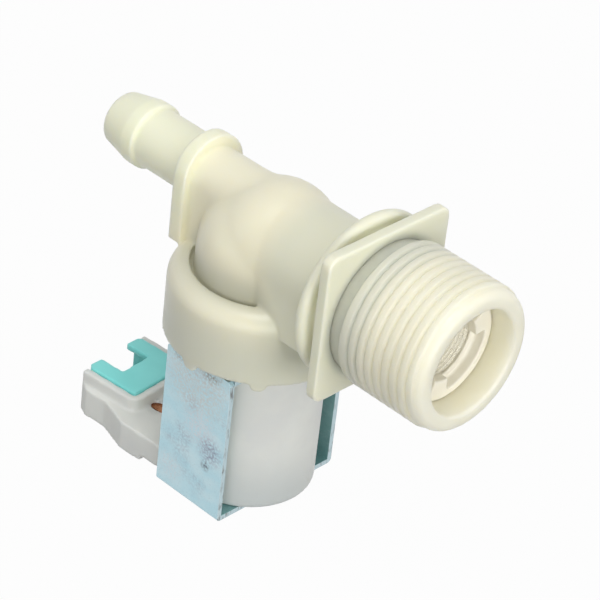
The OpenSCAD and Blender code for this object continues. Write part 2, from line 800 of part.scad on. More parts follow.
module coil_winding() {
    color("peru") ring_z(barrel_r + skin_gap, winding_r,
        bobbin_low_z + bobbin_flange_t + skin_gap, bobbin_top_z - bobbin_flange_t - skin_gap);
}

// The outline of the connector's lower body, seen from above.
module shell_outline() {
    half = [[0, 0], coil_r * [sin(flare_turn), cos(flare_turn)], [rim_back_x, flare_half],
            [plug_back_x + flare_out, shelf_half], [plug_reach - rim_corner, shelf_half],
            [plug_reach, rim_half], [plug_reach, 0]];
    polygon(half);
    mirror([0, 1]) polygon(half);
}

module plug_shell() {
    translate([0, 0, shell_low_z]) linear_extrude(shelf_z - shell_low_z) shell_outline();
    // The rim round the socket block, open at the mouth.
    translate([0, 0, shelf_z - eps]) linear_extrude(rim_top_z - shelf_z + eps) {
        translate([rim_back_x + rim_corner, -rim_half])
            square([plug_reach - rim_back_x - rim_corner, 2 * rim_half]);
        translate([rim_back_x, -rim_half + rim_corner])
            square([2 * rim_corner, 2 * (rim_half - rim_corner)]);
        for (s = [-1, 1])
            translate([rim_back_x + rim_corner, s * (rim_half - rim_corner)]) circle(r = rim_corner);
    }
}

module coil_overmould() {
    color("white") difference() {
        union() {
            rotate_extrude() {
                band(0, coil_r, coil_low_z + coil_round, coil_top_z);
                band(0, coil_r - coil_round, coil_low_z, coil_top_z);
                translate([coil_r - coil_round, coil_low_z + coil_round]) circle(r = coil_round);
            }
            plug_place() plug_shell();
        }
        rod_z(bobbin_bore_r, shell_low_z - eps, coil_top_z + eps);
        rod_z(bobbin_flange_r + skin_gap, bobbin_low_z, bobbin_top_z);
        // Room for the yoke's floor.
        plug_place() translate([0, -coil_r - eps, shell_low_z - eps])
            cube([foot_x, 2 * (coil_r + eps), coil_low_z - shell_low_z + eps]);
        plug_place() {
            translate([plug_back_x, -plug_w / 2, plug_low_z]) cube([plug_len + eps, plug_w, plug_h]);
            bridge();
            blade(1);
            blade(-1);
            translate([pin_hole_x, pin_hole_y, 0]) rod_z(pin_hole_r, blade_z + blade_t, shelf_z + eps);
        }
    }
}

module terminal_near() {
    color("goldenrod") plug_place() blade(1);
}

module terminal_far() {
    color("goldenrod") plug_place() blade(-1);
}

// One side plate, flat, with clipped corners and notches for the top plate's tabs.
module side_plate(s) {
    plate_h = bonnet_z - yoke_low_z;
    translate([0, s > 0 ? yoke_half_d : -yoke_in, yoke_low_z]) rotate([90, 0, 0])
        linear_extrude(sheet_t) difference() {
            polygon([[-yoke_half_w, 0], [yoke_half_w, 0], [yoke_half_w, plate_h - sheet_corner],
                     [yoke_half_w - sheet_corner, plate_h], [-yoke_half_w + sheet_corner, plate_h],
                     [-yoke_half_w, plate_h - sheet_corner]]);
            for (t = [-1, 1])
                translate([t * tab_x - tab_w / 2, plate_h - sheet_t]) square([tab_w, sheet_t + eps]);
        }
}

module yoke_frame() {
    color("lightblue") difference() {
        union() {
            side_plate(1);
            side_plate(-1);
            translate([-yoke_half_w, -yoke_in - eps, yoke_low_z])
                cube([2 * yoke_half_w, 2 * (yoke_in + eps), sheet_t]);
        }
        rod_z(bobbin_bore_r, yoke_low_z - eps, yoke_low_z + sheet_t + eps);
        // The outside of each bend is round.
        for (s = [-1, 1])
            translate([0, s * yoke_half_d, yoke_low_z]) difference() {
                cube([2 * yoke_half_w + 2 * eps, 2 * bend_r, 2 * bend_r], center = true);
                translate([-yoke_half_w - 2 * eps, -s * bend_r, bend_r]) rotate([0, 90, 0])
                    cylinder(r = bend_r, h = 2 * yoke_half_w + 4 * eps);
            }
    }
}

module yoke_top_plate() {
    color("lightblue") translate([0, 0, top_plate_z]) linear_extrude(sheet_t) difference() {
        union() {
            square([2 * yoke_half_w, 2 * yoke_in], center = true);
            for (s = [-1, 1])
                translate([s * tab_x - tab_w / 2, -yoke_half_d]) square([tab_w, 2 * yoke_half_d]);
        }
        circle(r = bobbin_bore_r);
    }
}

place() valve_body();
place() filter_frame();
place() filter_mesh();
place() flow_holder();
place() flow_washer();
place() diaphragm();
place() diaphragm_insert();
place() bonnet();
place() plunger();
place() plunger_seal();
place() plunger_spring();
place() pole_sleeve_upper();
place() pole_sleeve_lower();
place() coil_bobbin();
place() coil_winding();
place() coil_overmould();
place() terminal_near();
place() terminal_far();
place() yoke_frame();
place() yoke_top_plate();
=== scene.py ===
# %% [markdown]
# # The inlet valve of a washing machine
# The valve lets tap water into the machine. Its cream body is moulded in natural nylon. A coil
# in a folded steel yoke hangs below it, and the plug socket stands out at the back.
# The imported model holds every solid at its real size, in metres. This notebook adds what the
# eye sees: soft moulded edges, the true thread, the filter's mesh and the finishes.

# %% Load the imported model
import bpy
import bmesh
import json
import math
from mathutils import Matrix, Vector


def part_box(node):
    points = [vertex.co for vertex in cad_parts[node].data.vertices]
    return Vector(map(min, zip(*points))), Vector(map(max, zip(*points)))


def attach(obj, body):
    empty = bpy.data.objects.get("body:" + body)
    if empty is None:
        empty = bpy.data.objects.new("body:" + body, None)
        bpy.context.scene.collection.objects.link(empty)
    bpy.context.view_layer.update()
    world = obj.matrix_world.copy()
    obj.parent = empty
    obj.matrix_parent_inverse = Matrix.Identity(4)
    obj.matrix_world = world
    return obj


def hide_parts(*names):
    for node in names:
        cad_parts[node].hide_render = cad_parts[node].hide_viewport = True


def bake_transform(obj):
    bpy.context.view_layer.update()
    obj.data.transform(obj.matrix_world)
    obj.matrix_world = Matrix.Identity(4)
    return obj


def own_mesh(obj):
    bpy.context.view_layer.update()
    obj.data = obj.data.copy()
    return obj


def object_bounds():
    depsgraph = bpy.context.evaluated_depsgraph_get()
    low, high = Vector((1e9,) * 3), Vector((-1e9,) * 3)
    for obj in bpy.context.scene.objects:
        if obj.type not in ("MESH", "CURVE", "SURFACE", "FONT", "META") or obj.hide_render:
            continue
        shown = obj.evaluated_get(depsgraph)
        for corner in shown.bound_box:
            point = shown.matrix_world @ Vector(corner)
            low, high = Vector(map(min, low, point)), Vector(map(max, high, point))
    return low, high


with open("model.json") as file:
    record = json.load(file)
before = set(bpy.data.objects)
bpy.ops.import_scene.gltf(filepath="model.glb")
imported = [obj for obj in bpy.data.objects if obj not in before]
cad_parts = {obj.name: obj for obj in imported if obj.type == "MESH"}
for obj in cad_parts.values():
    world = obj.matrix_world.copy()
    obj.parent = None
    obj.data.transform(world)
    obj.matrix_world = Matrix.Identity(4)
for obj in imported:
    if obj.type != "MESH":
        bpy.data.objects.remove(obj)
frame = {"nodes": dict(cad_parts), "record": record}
cad_low, cad_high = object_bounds()
nodes = frame["nodes"]
print("solids loaded:", len(nodes))

# %% [markdown]
# ## Sizes
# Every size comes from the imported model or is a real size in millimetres. The boxes of a few
# solids say where the coil's axis and the connector are, and the mounts give the thread.

# %% Read the main sizes from the model
mm = 0.001
mounts = {mount["name"]: mount for mount in frame["record"]["mounts"]}
thread = mounts["inlet_thread"]
thread_r = thread["dims"]["r_mm"] * mm
thread_mid_x = thread["pos_m"][0]
flange_front_x = mounts["flange_face"]["pos_m"][0]
winding_low, winding_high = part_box("coil_winding")
coil_x = (winding_low.x + winding_high.x) / 2
mouth_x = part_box("valve_body")[1].x
print("coil axis at x =", round(coil_x / mm, 2), "mm, mouth at", round(mouth_x / mm, 2), "mm")

# %% [markdown]
# ## Camera
# The photograph was taken with a long lens from above the inlet's mouth. A camera can be placed
# by hand until it looks right, or worked out from lines that are known to be round or straight.
# These values were fitted to the outlines of the flange, the thread and the barb, which is
# safer, because all pieces then fall in their places at once.

# %% Set up the camera
look_at = Vector((-28.13, -0.61, -8.34)) * mm
camera_azimuth = math.radians(-48.65)
camera_elevation = math.radians(34.24)
camera_roll = math.radians(6.77)
camera_distance = 499.9 * mm

towards_camera = Vector((
    math.cos(camera_elevation) * math.cos(camera_azimuth),
    math.cos(camera_elevation) * math.sin(camera_azimuth),
    math.sin(camera_elevation)))
camera_data = bpy.data.cameras.new("camera")
camera_data.lens = 180
camera_data.sensor_width = 36
camera_data.clip_start = 0.01
camera_data.clip_end = 20
camera = bpy.data.objects.new("camera", camera_data)
aim = (-towards_camera).to_track_quat("-Z", "Y").to_matrix().to_4x4()
roll = Matrix.Rotation(camera_roll, 4, "Z")
camera.matrix_world = Matrix.Translation(look_at + towards_camera * camera_distance) @ aim @ roll
bpy.context.scene.collection.objects.link(camera)
bpy.context.scene.camera = camera
print("camera at", [round(c, 3) for c in camera.matrix_world.translation])

# %% [markdown]
# ## Floor and light
# The picture has a white background. It could be lit until the floor burns out, but that would
# wash out the pale nylon too. Here the floor and the world show white to the camera only, and
# the lamps stay at a plain level, so a colour renders about as it is written.


# %% What counts as seen directly
def seen_directly(tree):
    """1 for what the camera sees, also through glass or in a reflection, and 0 for light."""
    rays = tree.nodes.new("ShaderNodeLightPath")
    seen = rays.outputs["Is Camera Ray"]
    for kind in ("Is Glossy Ray", "Is Transmission Ray"):
        either = tree.nodes.new("ShaderNodeMath")
        either.operation = "MAXIMUM"
        tree.links.new(seen, either.inputs[0])
        tree.links.new(rays.outputs[kind], either.inputs[1])
        seen = either.outputs[0]
    return seen


# %% A white floor that keeps a soft shadow
floor_gap = 0.3 * mm
floor_half = 1.5
floor_bm = bmesh.new()
bmesh.ops.create_grid(floor_bm, x_segments=1, y_segments=1, size=floor_half)
bmesh.ops.translate(floor_bm, vec=(0, 0, cad_low.z - floor_gap), verts=floor_bm.verts)
floor_mesh = bpy.data.meshes.new("floor")
floor_bm.to_mesh(floor_mesh)
floor_bm.free()
floor = bpy.data.objects.new("floor", floor_mesh)
bpy.context.scene.collection.objects.link(floor)

floor_paint = bpy.data.materials.new("floor_paint")
floor_paint.use_nodes = True
tree = floor_paint.node_tree
tree.nodes.clear()
output = tree.nodes.new("ShaderNodeOutputMaterial")
matt = tree.nodes.new("ShaderNodeBsdfDiffuse")
matt.inputs["Color"].default_value = (0.33, 0.33, 0.33, 1)
glow = tree.nodes.new("ShaderNodeEmission")
share = tree.nodes.new("ShaderNodeMath")
share.operation = "MULTIPLY"
share.inputs[1].default_value = 0.975
blend = tree.nodes.new("ShaderNodeMixShader")
tree.links.new(seen_directly(tree), share.inputs[0])
tree.links.new(share.outputs[0], blend.inputs[0])
tree.links.new(matt.outputs[0], blend.inputs[1])
tree.links.new(glow.outputs[0], blend.inputs[2])
tree.links.new(blend.outputs[0], output.inputs["Surface"])
floor_mesh.materials.append(floor_paint)
print("floor at z =", round((cad_low.z - floor_gap) / mm, 2), "mm")

# %% A world that is white to the camera and soft to the object
world = bpy.data.worlds.new("studio")
bpy.context.scene.world = world
world.use_nodes = True
tree = world.node_tree
tree.nodes.clear()
output = tree.nodes.new("ShaderNodeOutputWorld")
white = tree.nodes.new("ShaderNodeBackground")
white.inputs["Color"].default_value = (1, 1, 1, 1)
white.inputs["Strength"].default_value = 1
fill = tree.nodes.new("ShaderNodeBackground")
fill.inputs["Color"].default_value = (0.97, 0.985, 1, 1)
fill.inputs["Strength"].default_value = 0.5
blend = tree.nodes.new("ShaderNodeMixShader")
tree.links.new(seen_directly(tree), blend.inputs[0])
tree.links.new(fill.outputs[0], blend.inputs[1])
tree.links.new(white.outputs[0], blend.inputs[2])
tree.links.new(blend.outputs[0], output.inputs["Surface"])
bpy.context.scene.view_settings.view_transform = "Standard"
print("world ready")


# %% Three soft lamps
def soft_lamp(name, azimuth, elevation, distance, size, watts):
    """A square lamp that looks at the middle of the valve."""
    lamp_data = bpy.data.lights.new(name, "AREA")
    lamp_data.size = size
    lamp_data.energy = watts
    lamp = bpy.data.objects.new(name, lamp_data)
    a, e = math.radians(azimuth), math.radians(elevation)
    out = Vector((math.cos(e) * math.cos(a), math.cos(e) * math.sin(a), math.sin(e)))
    turn = (-out).to_track_quat("-Z", "Y").to_matrix().to_4x4()
    lamp.matrix_world = Matrix.Translation(look_at + out * distance) @ turn
    bpy.context.scene.collection.objects.link(lamp)
    return lamp


lamps = [
    soft_lamp("key_lamp", azimuth=-48, elevation=74, distance=0.9, size=0.4, watts=2.8),
    soft_lamp("mouth_lamp", azimuth=-10, elevation=9, distance=1.0, size=0.6, watts=4.6),
    soft_lamp("front_lamp", azimuth=-54, elevation=5, distance=1.0, size=0.8, watts=3.3)]
print("lamps:", [lamp.name for lamp in lamps])

# %% [markdown]
# ## Helpers for the finishes
# Each finish is a Principled shader with a few procedural patterns on Object coordinates, so
# a pattern keeps its real size on every piece. Three small helpers keep the cells short: one
# makes the shader, one makes a noise of a given grain, and one mixes two colours by a pattern.


# %% Shader helpers
def srgb(red, green, blue):
    """A colour as the eye reads it, 0 to 255, turned into the renderer's linear light."""
    parts = [c / 255 for c in (red, green, blue)]
    return (*[((c + 0.055) / 1.055) ** 2.4 if c > 0.04 else c / 12.92 for c in parts], 1)


def new_finish(name, roughness, metallic=0.0):
    """A material with a Principled shader; returns it with its node tree and shader."""
    finish = bpy.data.materials.new(name)
    finish.use_nodes = True
    shader = finish.node_tree.nodes["Principled BSDF"]
    shader.inputs["Roughness"].default_value = roughness
    shader.inputs["Metallic"].default_value = metallic
    return finish, finish.node_tree, shader


def grain(tree, size, detail=3.0, stretch=(1, 1, 1)):
    """A noise on Object coordinates whose grains are about that size, in metres."""
    place = tree.nodes.new("ShaderNodeTexCoord")
    scale = tree.nodes.new("ShaderNodeMapping")
    scale.inputs["Scale"].default_value = stretch
    noise = tree.nodes.new("ShaderNodeTexNoise")
    noise.inputs["Scale"].default_value = 1 / size
    noise.inputs["Detail"].default_value = detail
    tree.links.new(place.outputs["Object"], scale.inputs["Vector"])
    tree.links.new(scale.outputs["Vector"], noise.inputs["Vector"])
    return noise.outputs["Fac"]


def between(tree, pattern, low, high, start=0.0, end=1.0):
    """Spreads the part of a pattern from low to high over start to end."""
    spread = tree.nodes.new("ShaderNodeMapRange")
    spread.inputs["From Min"].default_value = low
    spread.inputs["From Max"].default_value = high
    spread.inputs["To Min"].default_value = start
    spread.inputs["To Max"].default_value = end
    tree.links.new(pattern, spread.inputs["Value"])
    return spread.outputs["Result"]


def mixed(tree, pattern, first, second):
    """A colour that goes from first to second with the pattern; each is a colour or a socket."""
    mix = tree.nodes.new("ShaderNodeMix")
    mix.data_type = "RGBA"
    tree.links.new(pattern, mix.inputs["Factor"])
    for socket, value in ((mix.inputs[6], first), (mix.inputs[7], second)):
        if isinstance(value, tuple):
            socket.default_value = value
        else:
            tree.links.new(value, socket)
    return mix.outputs[2]


def product(tree, first, second):
    """Two patterns multiplied."""
    node = tree.nodes.new("ShaderNodeMath")
    node.operation = "MULTIPLY"
    tree.links.new(first, node.inputs[0])
    tree.links.new(second, node.inputs[1])
    return node.outputs[0]


def bumped(tree, shader, pattern, depth):
    """Raises the surface by up to depth, in metres, where the pattern is high."""
    bump = tree.nodes.new("ShaderNodeBump")
    bump.inputs["Distance"].default_value = depth
    tree.links.new(pattern, bump.inputs["Height"])
    tree.links.new(bump.outputs["Normal"], shader.inputs["Normal"])


print("shader helpers ready")

# %% [markdown]
# ## Natural nylon
# The body's nylon has no pigment. Light goes in, scatters and comes out a few millimetres away,
# so shadows are soft and thin walls look yellow. A plain white plastic would look like chalk.
# Subsurface scattering gives that waxy look. The neck and the collar look grey-green. That is partly
# the black rubber behind the walls, the flow washer behind the neck and the diaphragm behind the
# collar, and partly painted shade, where the flange and the first ring shade the neck and the
# collar's side faces away from the light. Soft balls of darker colour paint it round those places.
# The flange and the dome's foot under the collar's lip get a painted shade in the same way, and
# the barb a lighter ball of painted light on its thin underside.


# %% Painted shade and light, and where dark rubber lies behind the wall
def near(tree, centre, full, none):
    """1 within the distance full of a centre, falling softly to 0 at the distance none."""
    place = tree.nodes.new("ShaderNodeTexCoord")
    away = tree.nodes.new("ShaderNodeVectorMath")
    away.operation = "DISTANCE"
    away.inputs[1].default_value = centre
    tree.links.new(place.outputs["Object"], away.inputs[0])
    fall = tree.nodes.new("ShaderNodeMapRange")
    fall.interpolation_type = "SMOOTHSTEP"
    for socket, value in (("From Min", full), ("From Max", none), ("To Min", 1), ("To Max", 0)):
        fall.inputs[socket].default_value = value
    tree.links.new(away.outputs["Value"], fall.inputs["Value"])
    return fall.outputs["Result"]


# Each place: a centre, the distances where its painted shade or light is full and gone, and its colour
# washer_shade: painted shade on the neck between the flange and the first ring, and partly the dark flow
# washer behind the wall
washer_shade = (Vector((flange_front_x + 3.6 * mm, 0, 0)), 12.4 * mm, 14.4 * mm,
                srgb(204, 206, 192))
# collar_shade: painted shade on the collar's side, and partly the dark diaphragm behind the wall
collar_shade = (Vector((coil_x, 0, -17.0 * mm)), 15.5 * mm, 20.0 * mm, srgb(213, 214, 198))
# dome_shade: painted shade deep at the dome's foot under the collar's lip, and partly the rubber behind
dome_shade = (Vector((coil_x, 0, -11.0 * mm)), 12.0 * mm, 17.0 * mm, srgb(196, 194, 174))
# flange_shade: a slight painted shade on the flange
flange_shade = (Vector((flange_front_x - 1.0 * mm, 0, 0)), 17.0 * mm, 22.0 * mm, srgb(231, 230, 209))
# barb_painted_light: painted light on the barb's thin underside, lit through its wall and from below
barb_painted_light = (Vector((-66.0 * mm, 0, 4.4 * mm)), 12.0 * mm, 22.0 * mm, srgb(255, 247, 219))


# %% Finish of the body
def natural_nylon(name, light, shade, scatter, places):
    finish, tree, shader = new_finish(name, roughness=0.35)
    tint = between(tree, grain(tree, 14 * mm, 2), 0.35, 0.65)
    cream = mixed(tree, tint, light, shade)
    for centre, full, none, colour in places:
        cream = mixed(tree, near(tree, centre, full, none), cream, colour)
    tree.links.new(cream, shader.inputs["Base Color"])
    shader.inputs["Subsurface Weight"].default_value = 1.0
    shader.inputs["Subsurface Radius"].default_value = (0.8, 0.85, 1.0)
    shader.inputs["Subsurface Scale"].default_value = scatter
    shader.inputs["Specular IOR Level"].default_value = 0.45
    gloss = between(tree, grain(tree, 3 * mm, 4), 0.3, 0.7, 0.28, 0.4)
    tree.links.new(gloss, shader.inputs["Roughness"])
    bumped(tree, shader, grain(tree, 0.5 * mm, 2), 0.01 * mm)
    return finish


cream_light, cream_shade = srgb(244, 239, 215), srgb(239, 234, 210)
body_nylon = natural_nylon(
    "body_nylon", cream_light, cream_shade, 1.6 * mm,
    [flange_shade, washer_shade, collar_shade, dome_shade, barb_painted_light])
nose_nylon = natural_nylon(
    "nose_nylon", cream_light, cream_shade, 6.0 * mm, [washer_shade])
print("body finishes:", body_nylon.name, nose_nylon.name)


# %% Finish of the filter
def filter_plastic(name, light, shade):
    finish, tree, shader = new_finish(name, roughness=0.45)
    tint = between(tree, grain(tree, 4 * mm, 2), 0.35, 0.65)
    tree.links.new(mixed(tree, tint, light, shade), shader.inputs["Base Color"])
    bumped(tree, shader, grain(tree, 0.3 * mm, 2), 0.01 * mm)
    return finish


filter_nylon = filter_plastic("filter_nylon", srgb(246, 242, 228), srgb(241, 236, 220))
mesh_nylon = filter_plastic("mesh_nylon", srgb(253, 250, 238), srgb(250, 246, 232))
print("filter finishes:", filter_nylon.name, mesh_nylon.name)

# %% [markdown]
# ## Moulded plastics
# The coil is moulded over in a white plastic that is cool grey in the shade, and the bobbin with
# the socket is teal. Both are satin and let little light through, so their scattering is
# short. The fine bump is the skin of a worn mould, and a painted shade makes the coil a little
# greyer towards its foot.


# %% Finishes of the coil and the socket
def moulded_plastic(name, light, shade, scatter, roughness, places=()):
    finish, tree, shader = new_finish(name, roughness)
    tint = between(tree, grain(tree, 9 * mm, 3), 0.35, 0.65)
    tone = mixed(tree, tint, light, shade)
    for centre, full, none, colour in places:
        tone = mixed(tree, near(tree, centre, full, none), tone, colour)
    tree.links.new(tone, shader.inputs["Base Color"])
    shader.inputs["Subsurface Weight"].default_value = scatter
    shader.inputs["Subsurface Radius"].default_value = (1.0, 0.9, 0.8)
    shader.inputs["Subsurface Scale"].default_value = 1.5 * mm
    bumped(tree, shader, grain(tree, 0.35 * mm, 2), 0.008 * mm)
    return finish


# coil_foot_shade: painted shade that makes the coil darker towards its foot
coil_foot_shade = (Vector((-27 * mm, -6 * mm, -52 * mm)), 3.0 * mm, 18.0 * mm, srgb(196, 201, 199))
coil_white = moulded_plastic(
    "coil_white", srgb(228, 229, 223), srgb(220, 221, 217), 0.4, 0.5, [coil_foot_shade])
inner_white = moulded_plastic("inner_white", srgb(232, 231, 226), srgb(224, 223, 217), 0.2, 0.45)
socket_teal = moulded_plastic("socket_teal", srgb(140, 232, 228), srgb(130, 224, 220), 0.15, 0.42)
print("plastics:", coil_white.name, inner_white.name, socket_teal.name)

# %% [markdown]
# ## Zinc plate
# The yoke is sheet steel with a blue zinc plate. It is dull, with grey smudges where other parts
# rubbed it, a few fine scratches, and a bare brown edge where the sheet was sheared after
# plating. The smudges are a wide noise cut by a fine one, so their rims look powdery. The
# scratches are a noise that is stretched a long way in one direction. The stains that the
# photograph shows in certain places are soft balls too, cut by the same powder.


# %% Finish of the yoke
def zinc_plate(name, clean, pale, smudge_dark, smudge_amount, places):
    finish, tree, shader = new_finish(name, roughness=0.45, metallic=0.4)
    cloud = between(tree, grain(tree, 5 * mm, 4, (1, 1, 1.6)), 0.4, 0.7)
    tone = mixed(tree, cloud, clean, pale)
    powder = between(tree, grain(tree, 0.5 * mm, 6), 0.36, 0.64)
    for centre, full, none, colour in places:
        patch = product(tree, near(tree, centre, full, none), powder)
        tone = mixed(tree, patch, tone, colour)
    speck = between(tree, grain(tree, 0.3 * mm, 3), 0.55, 0.85, 0, 0.25)
    speckled = mixed(tree, speck, tone, smudge_dark)
    scratch = between(tree, grain(tree, 0.5 * mm, 2, (0.12, 1, 1.6)), 0.66, 0.72, 0, 0.35)
    worn = mixed(tree, scratch, speckled, srgb(222, 232, 236))
    wide = between(tree, grain(tree, 7 * mm, 3), 0.54, 0.7)
    smudge = between(tree, product(tree, wide, powder), 0, 1, 0, smudge_amount)
    tree.links.new(mixed(tree, smudge, worn, smudge_dark), shader.inputs["Base Color"])
    gloss = between(tree, grain(tree, 2 * mm, 4), 0.3, 0.7, 0.36, 0.55)
    tree.links.new(gloss, shader.inputs["Roughness"])
    bumped(tree, shader, grain(tree, 0.6 * mm, 5), 0.02 * mm)
    return finish


yoke_low, yoke_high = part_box("yoke_frame")
near_y = yoke_low.y
# The first, second and fifth entries make the plate paler in three places; the other four are dark stains.
stains_and_pale_patches = [
    (Vector((coil_x, near_y, -24.0 * mm)), 4.0 * mm, 10.0 * mm, srgb(204, 212, 212)),
    (Vector((coil_x + 1.5 * mm, near_y, -33.5 * mm)), 1.0 * mm, 5.5 * mm, srgb(214, 222, 228)),
    (Vector((-32.6 * mm, near_y, -36.8 * mm)), 0.2 * mm, 4.0 * mm, srgb(138, 142, 164)),
    (Vector((-33.4 * mm, near_y, -40.2 * mm)), 0.2 * mm, 1.5 * mm, srgb(106, 110, 122)),
    (Vector((-41.6 * mm, near_y, -45.1 * mm)), 0.5 * mm, 4.5 * mm, srgb(208, 222, 228)),
    (Vector((-34.0 * mm, near_y, -20.6 * mm)), 0.6 * mm, 3.2 * mm, srgb(120, 108, 92)),
    (Vector((-41.6 * mm, near_y, -20.6 * mm)), 0.4 * mm, 2.4 * mm, srgb(120, 108, 92))]
zinc_blue = zinc_plate(
    "zinc_blue", srgb(190, 225, 235), srgb(206, 231, 238), srgb(138, 144, 162), 0.4, stains_and_pale_patches)
# zinc_shade: a darker copy of the zinc, painted shade for the faces inside the yoke
zinc_shade = zinc_plate(
    "zinc_shade", srgb(128, 172, 172), srgb(150, 188, 188), srgb(78, 96, 104), 0.4, [])


def sheared_edge(name):
    """The cut edge of the sheet: bright steel with brown lines."""
    finish, tree, shader = new_finish(name, roughness=0.5, metallic=0.7)
    stripe = between(tree, grain(tree, 0.4 * mm, 4, (1, 1, 0.2)), 0.52, 0.7, 0, 0.8)
    tone = mixed(tree, stripe, srgb(186, 205, 210), srgb(104, 98, 94))
    tree.links.new(tone, shader.inputs["Base Color"])
    bumped(tree, shader, grain(tree, 0.3 * mm, 3), 0.03 * mm)
    return finish


edge_steel = sheared_edge("edge_steel")
print("zinc finishes:", zinc_blue.name, zinc_shade.name, edge_steel.name)


# %% [markdown]
# ## Small metal and rubber finishes
# The inner parts hardly show, but each still gets its own finish: turned steel with fine rings,
# enamelled copper wire with its turns, tinned brass and black rubber.


# %% Finishes of the inner parts
def plain_metal(name, light, dark, roughness, stretch):
    finish, tree, shader = new_finish(name, roughness, metallic=1.0)
    line = between(tree, grain(tree, 0.4 * mm, 2, stretch), 0.35, 0.65)
    tree.links.new(mixed(tree, line, light, dark), shader.inputs["Base Color"])
    bumped(tree, shader, line, 0.01 * mm)
    return finish


def rubber(name):
    finish, tree, shader = new_finish(name, roughness=0.6)
    dust = between(tree, grain(tree, 1.2 * mm, 4), 0.45, 0.8, 0, 0.5)
    tree.links.new(mixed(tree, dust, srgb(34, 34, 36), srgb(74, 74, 76)), shader.inputs["Base Color"])
    bumped(tree, shader, grain(tree, 0.3 * mm, 2), 0.01 * mm)
    return finish


turned_steel = plain_metal("turned_steel", srgb(200, 200, 196), srgb(170, 170, 168), 0.3, (0.1, 0.1, 1))
winding_copper = plain_metal("winding_copper", srgb(196, 112, 66), srgb(150, 74, 40), 0.35, (0.05, 0.05, 1))
terminal_brass = plain_metal("terminal_brass", srgb(196, 140, 104), srgb(164, 108, 78), 0.4, (1, 1, 0.2))
black_rubber = rubber("black_rubber")
print("inner finishes:", turned_steel.name, winding_copper.name, terminal_brass.name, black_rubber.name)

# %% [markdown]
# ## Helpers for the pieces
# A solid from the model has loose triangles and knife-sharp edges. A moulded part has neither.
# To round all edges at once, a merged copy is rebuilt in small even squares, and the squares
# are then smoothed. A Bevel would need clean edge loops, which a cut solid doesn't have.


# %% Piece helpers
weld_distance = 0.001 * mm


def merged_copy(node_name):
    """The mesh of a solid as a bmesh, with its loose triangles joined."""
    bm = bmesh.new()
    bm.from_mesh(nodes[node_name].data)
    bmesh.ops.remove_doubles(bm, verts=bm.verts, dist=weld_distance)
    return bm


def new_object(name, bm, finishes):
    """Turns a bmesh into an object at the origin, with its finishes in its slots."""
    mesh = bpy.data.meshes.new(name)
    bm.to_mesh(mesh)
    bm.free()
    for finish in finishes:
        mesh.materials.append(finish)
    piece = bpy.data.objects.new(name, mesh)
    bpy.context.scene.collection.objects.link(piece)
    return piece


def apply_modifiers(piece):
    """Writes what the modifiers make into the mesh."""
    depsgraph = bpy.context.evaluated_depsgraph_get()
    made = bpy.data.meshes.new_from_object(piece.evaluated_get(depsgraph))
    piece.modifiers.clear()
    piece.data = made
    made.name = piece.name


def soften(piece, square, rounds, most=190000):
    """Rebuilds a closed mesh in even squares and smooths them, which rounds every edge."""
    remesh = piece.modifiers.new("squares", "REMESH")
    remesh.mode = "VOXEL"
    remesh.voxel_size = square
    remesh.use_smooth_shade = True
    smooth = piece.modifiers.new("smooth", "SMOOTH")
    smooth.factor = 0.5
    smooth.iterations = rounds
    apply_modifiers(piece)
    triangles = 2 * len(piece.data.polygons)
    if triangles > most:
        thin_out = piece.modifiers.new("thin_out", "DECIMATE")
        thin_out.ratio = most / triangles
        apply_modifiers(piece)


def settle(piece, body, slot_name, *replaced):
    """Hangs a finished piece on its body, hides the solids it replaces and prints its triangles; slot_name
    is not used.
    """
    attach(piece, body)
    if replaced:
        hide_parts(*replaced)
    triangles = sum(len(face.vertices) - 2 for face in piece.data.polygons)
    print(piece.name, "has", triangles, "triangles")


print("piece helpers ready")

# %% [markdown]
# ## The body's shell
# The body is one moulding: barb, stop plate, dome, collar and flanges, with a small round at
# each edge. A copy of the solid is cut off just in front of the square flange, because the
# thread gets its own piece, and is then softened as a whole.

# %% Make the shell
shell_square = 0.25 * mm
cut_gap = 0.05 * mm
shell_bm = merged_copy("valve_body")
everything = shell_bm.verts[:] + shell_bm.edges[:] + shell_bm.faces[:]
cut = bmesh.ops.bisect_plane(
    shell_bm, geom=everything, plane_co=(flange_front_x + cut_gap, 0, 0),
    plane_no=(1, 0, 0), clear_outer=True)
rim_edges = [item for item in cut["geom_cut"] if isinstance(item, bmesh.types.BMEdge)]
bmesh.ops.triangle_fill(shell_bm, use_beauty=True, edges=rim_edges)
bmesh.ops.recalc_face_normals(shell_bm, faces=shell_bm.faces)
body_shell = new_object("body_shell", shell_bm, [body_nylon])
soften(body_shell, shell_square, rounds=4)
settle(body_shell, "root", "natural_plastic", "valve_body")


# %% Let the dome flow into the two tubes
def smooth_patch(piece, centre, inner, outer, floor_z, end_x, rounds):
    """Smooths the skin between two distances from a centre, above a height and up to end_x."""
    patch = piece.vertex_groups.new(name="patch")
    for vert in piece.data.vertices:
        distance = (vert.co - centre).length
        if inner < distance < outer and vert.co.z > floor_z:
            share = min(1, (vert.co.z - floor_z) / (3 * mm), (outer - distance) / (2 * mm),
                        max(0, end_x - vert.co.x) / (5 * mm))
            patch.add([vert.index], share, "REPLACE")
    smooth = piece.modifiers.new("patch", "SMOOTH")
    smooth.factor = 0.5
    smooth.iterations = rounds
    smooth.vertex_group = patch.name
    apply_modifiers(piece)
    piece.vertex_groups.clear()


dome_centre = Vector((coil_x, 0, -2.0 * mm))
smooth_patch(body_shell, dome_centre, 10.4 * mm, 17 * mm, -5.2 * mm, mouth_x, rounds=20)
smooth_patch(body_shell, dome_centre, 10.4 * mm, 17 * mm, -5.2 * mm, coil_x + 7 * mm, rounds=45)
print("dome smoothed")

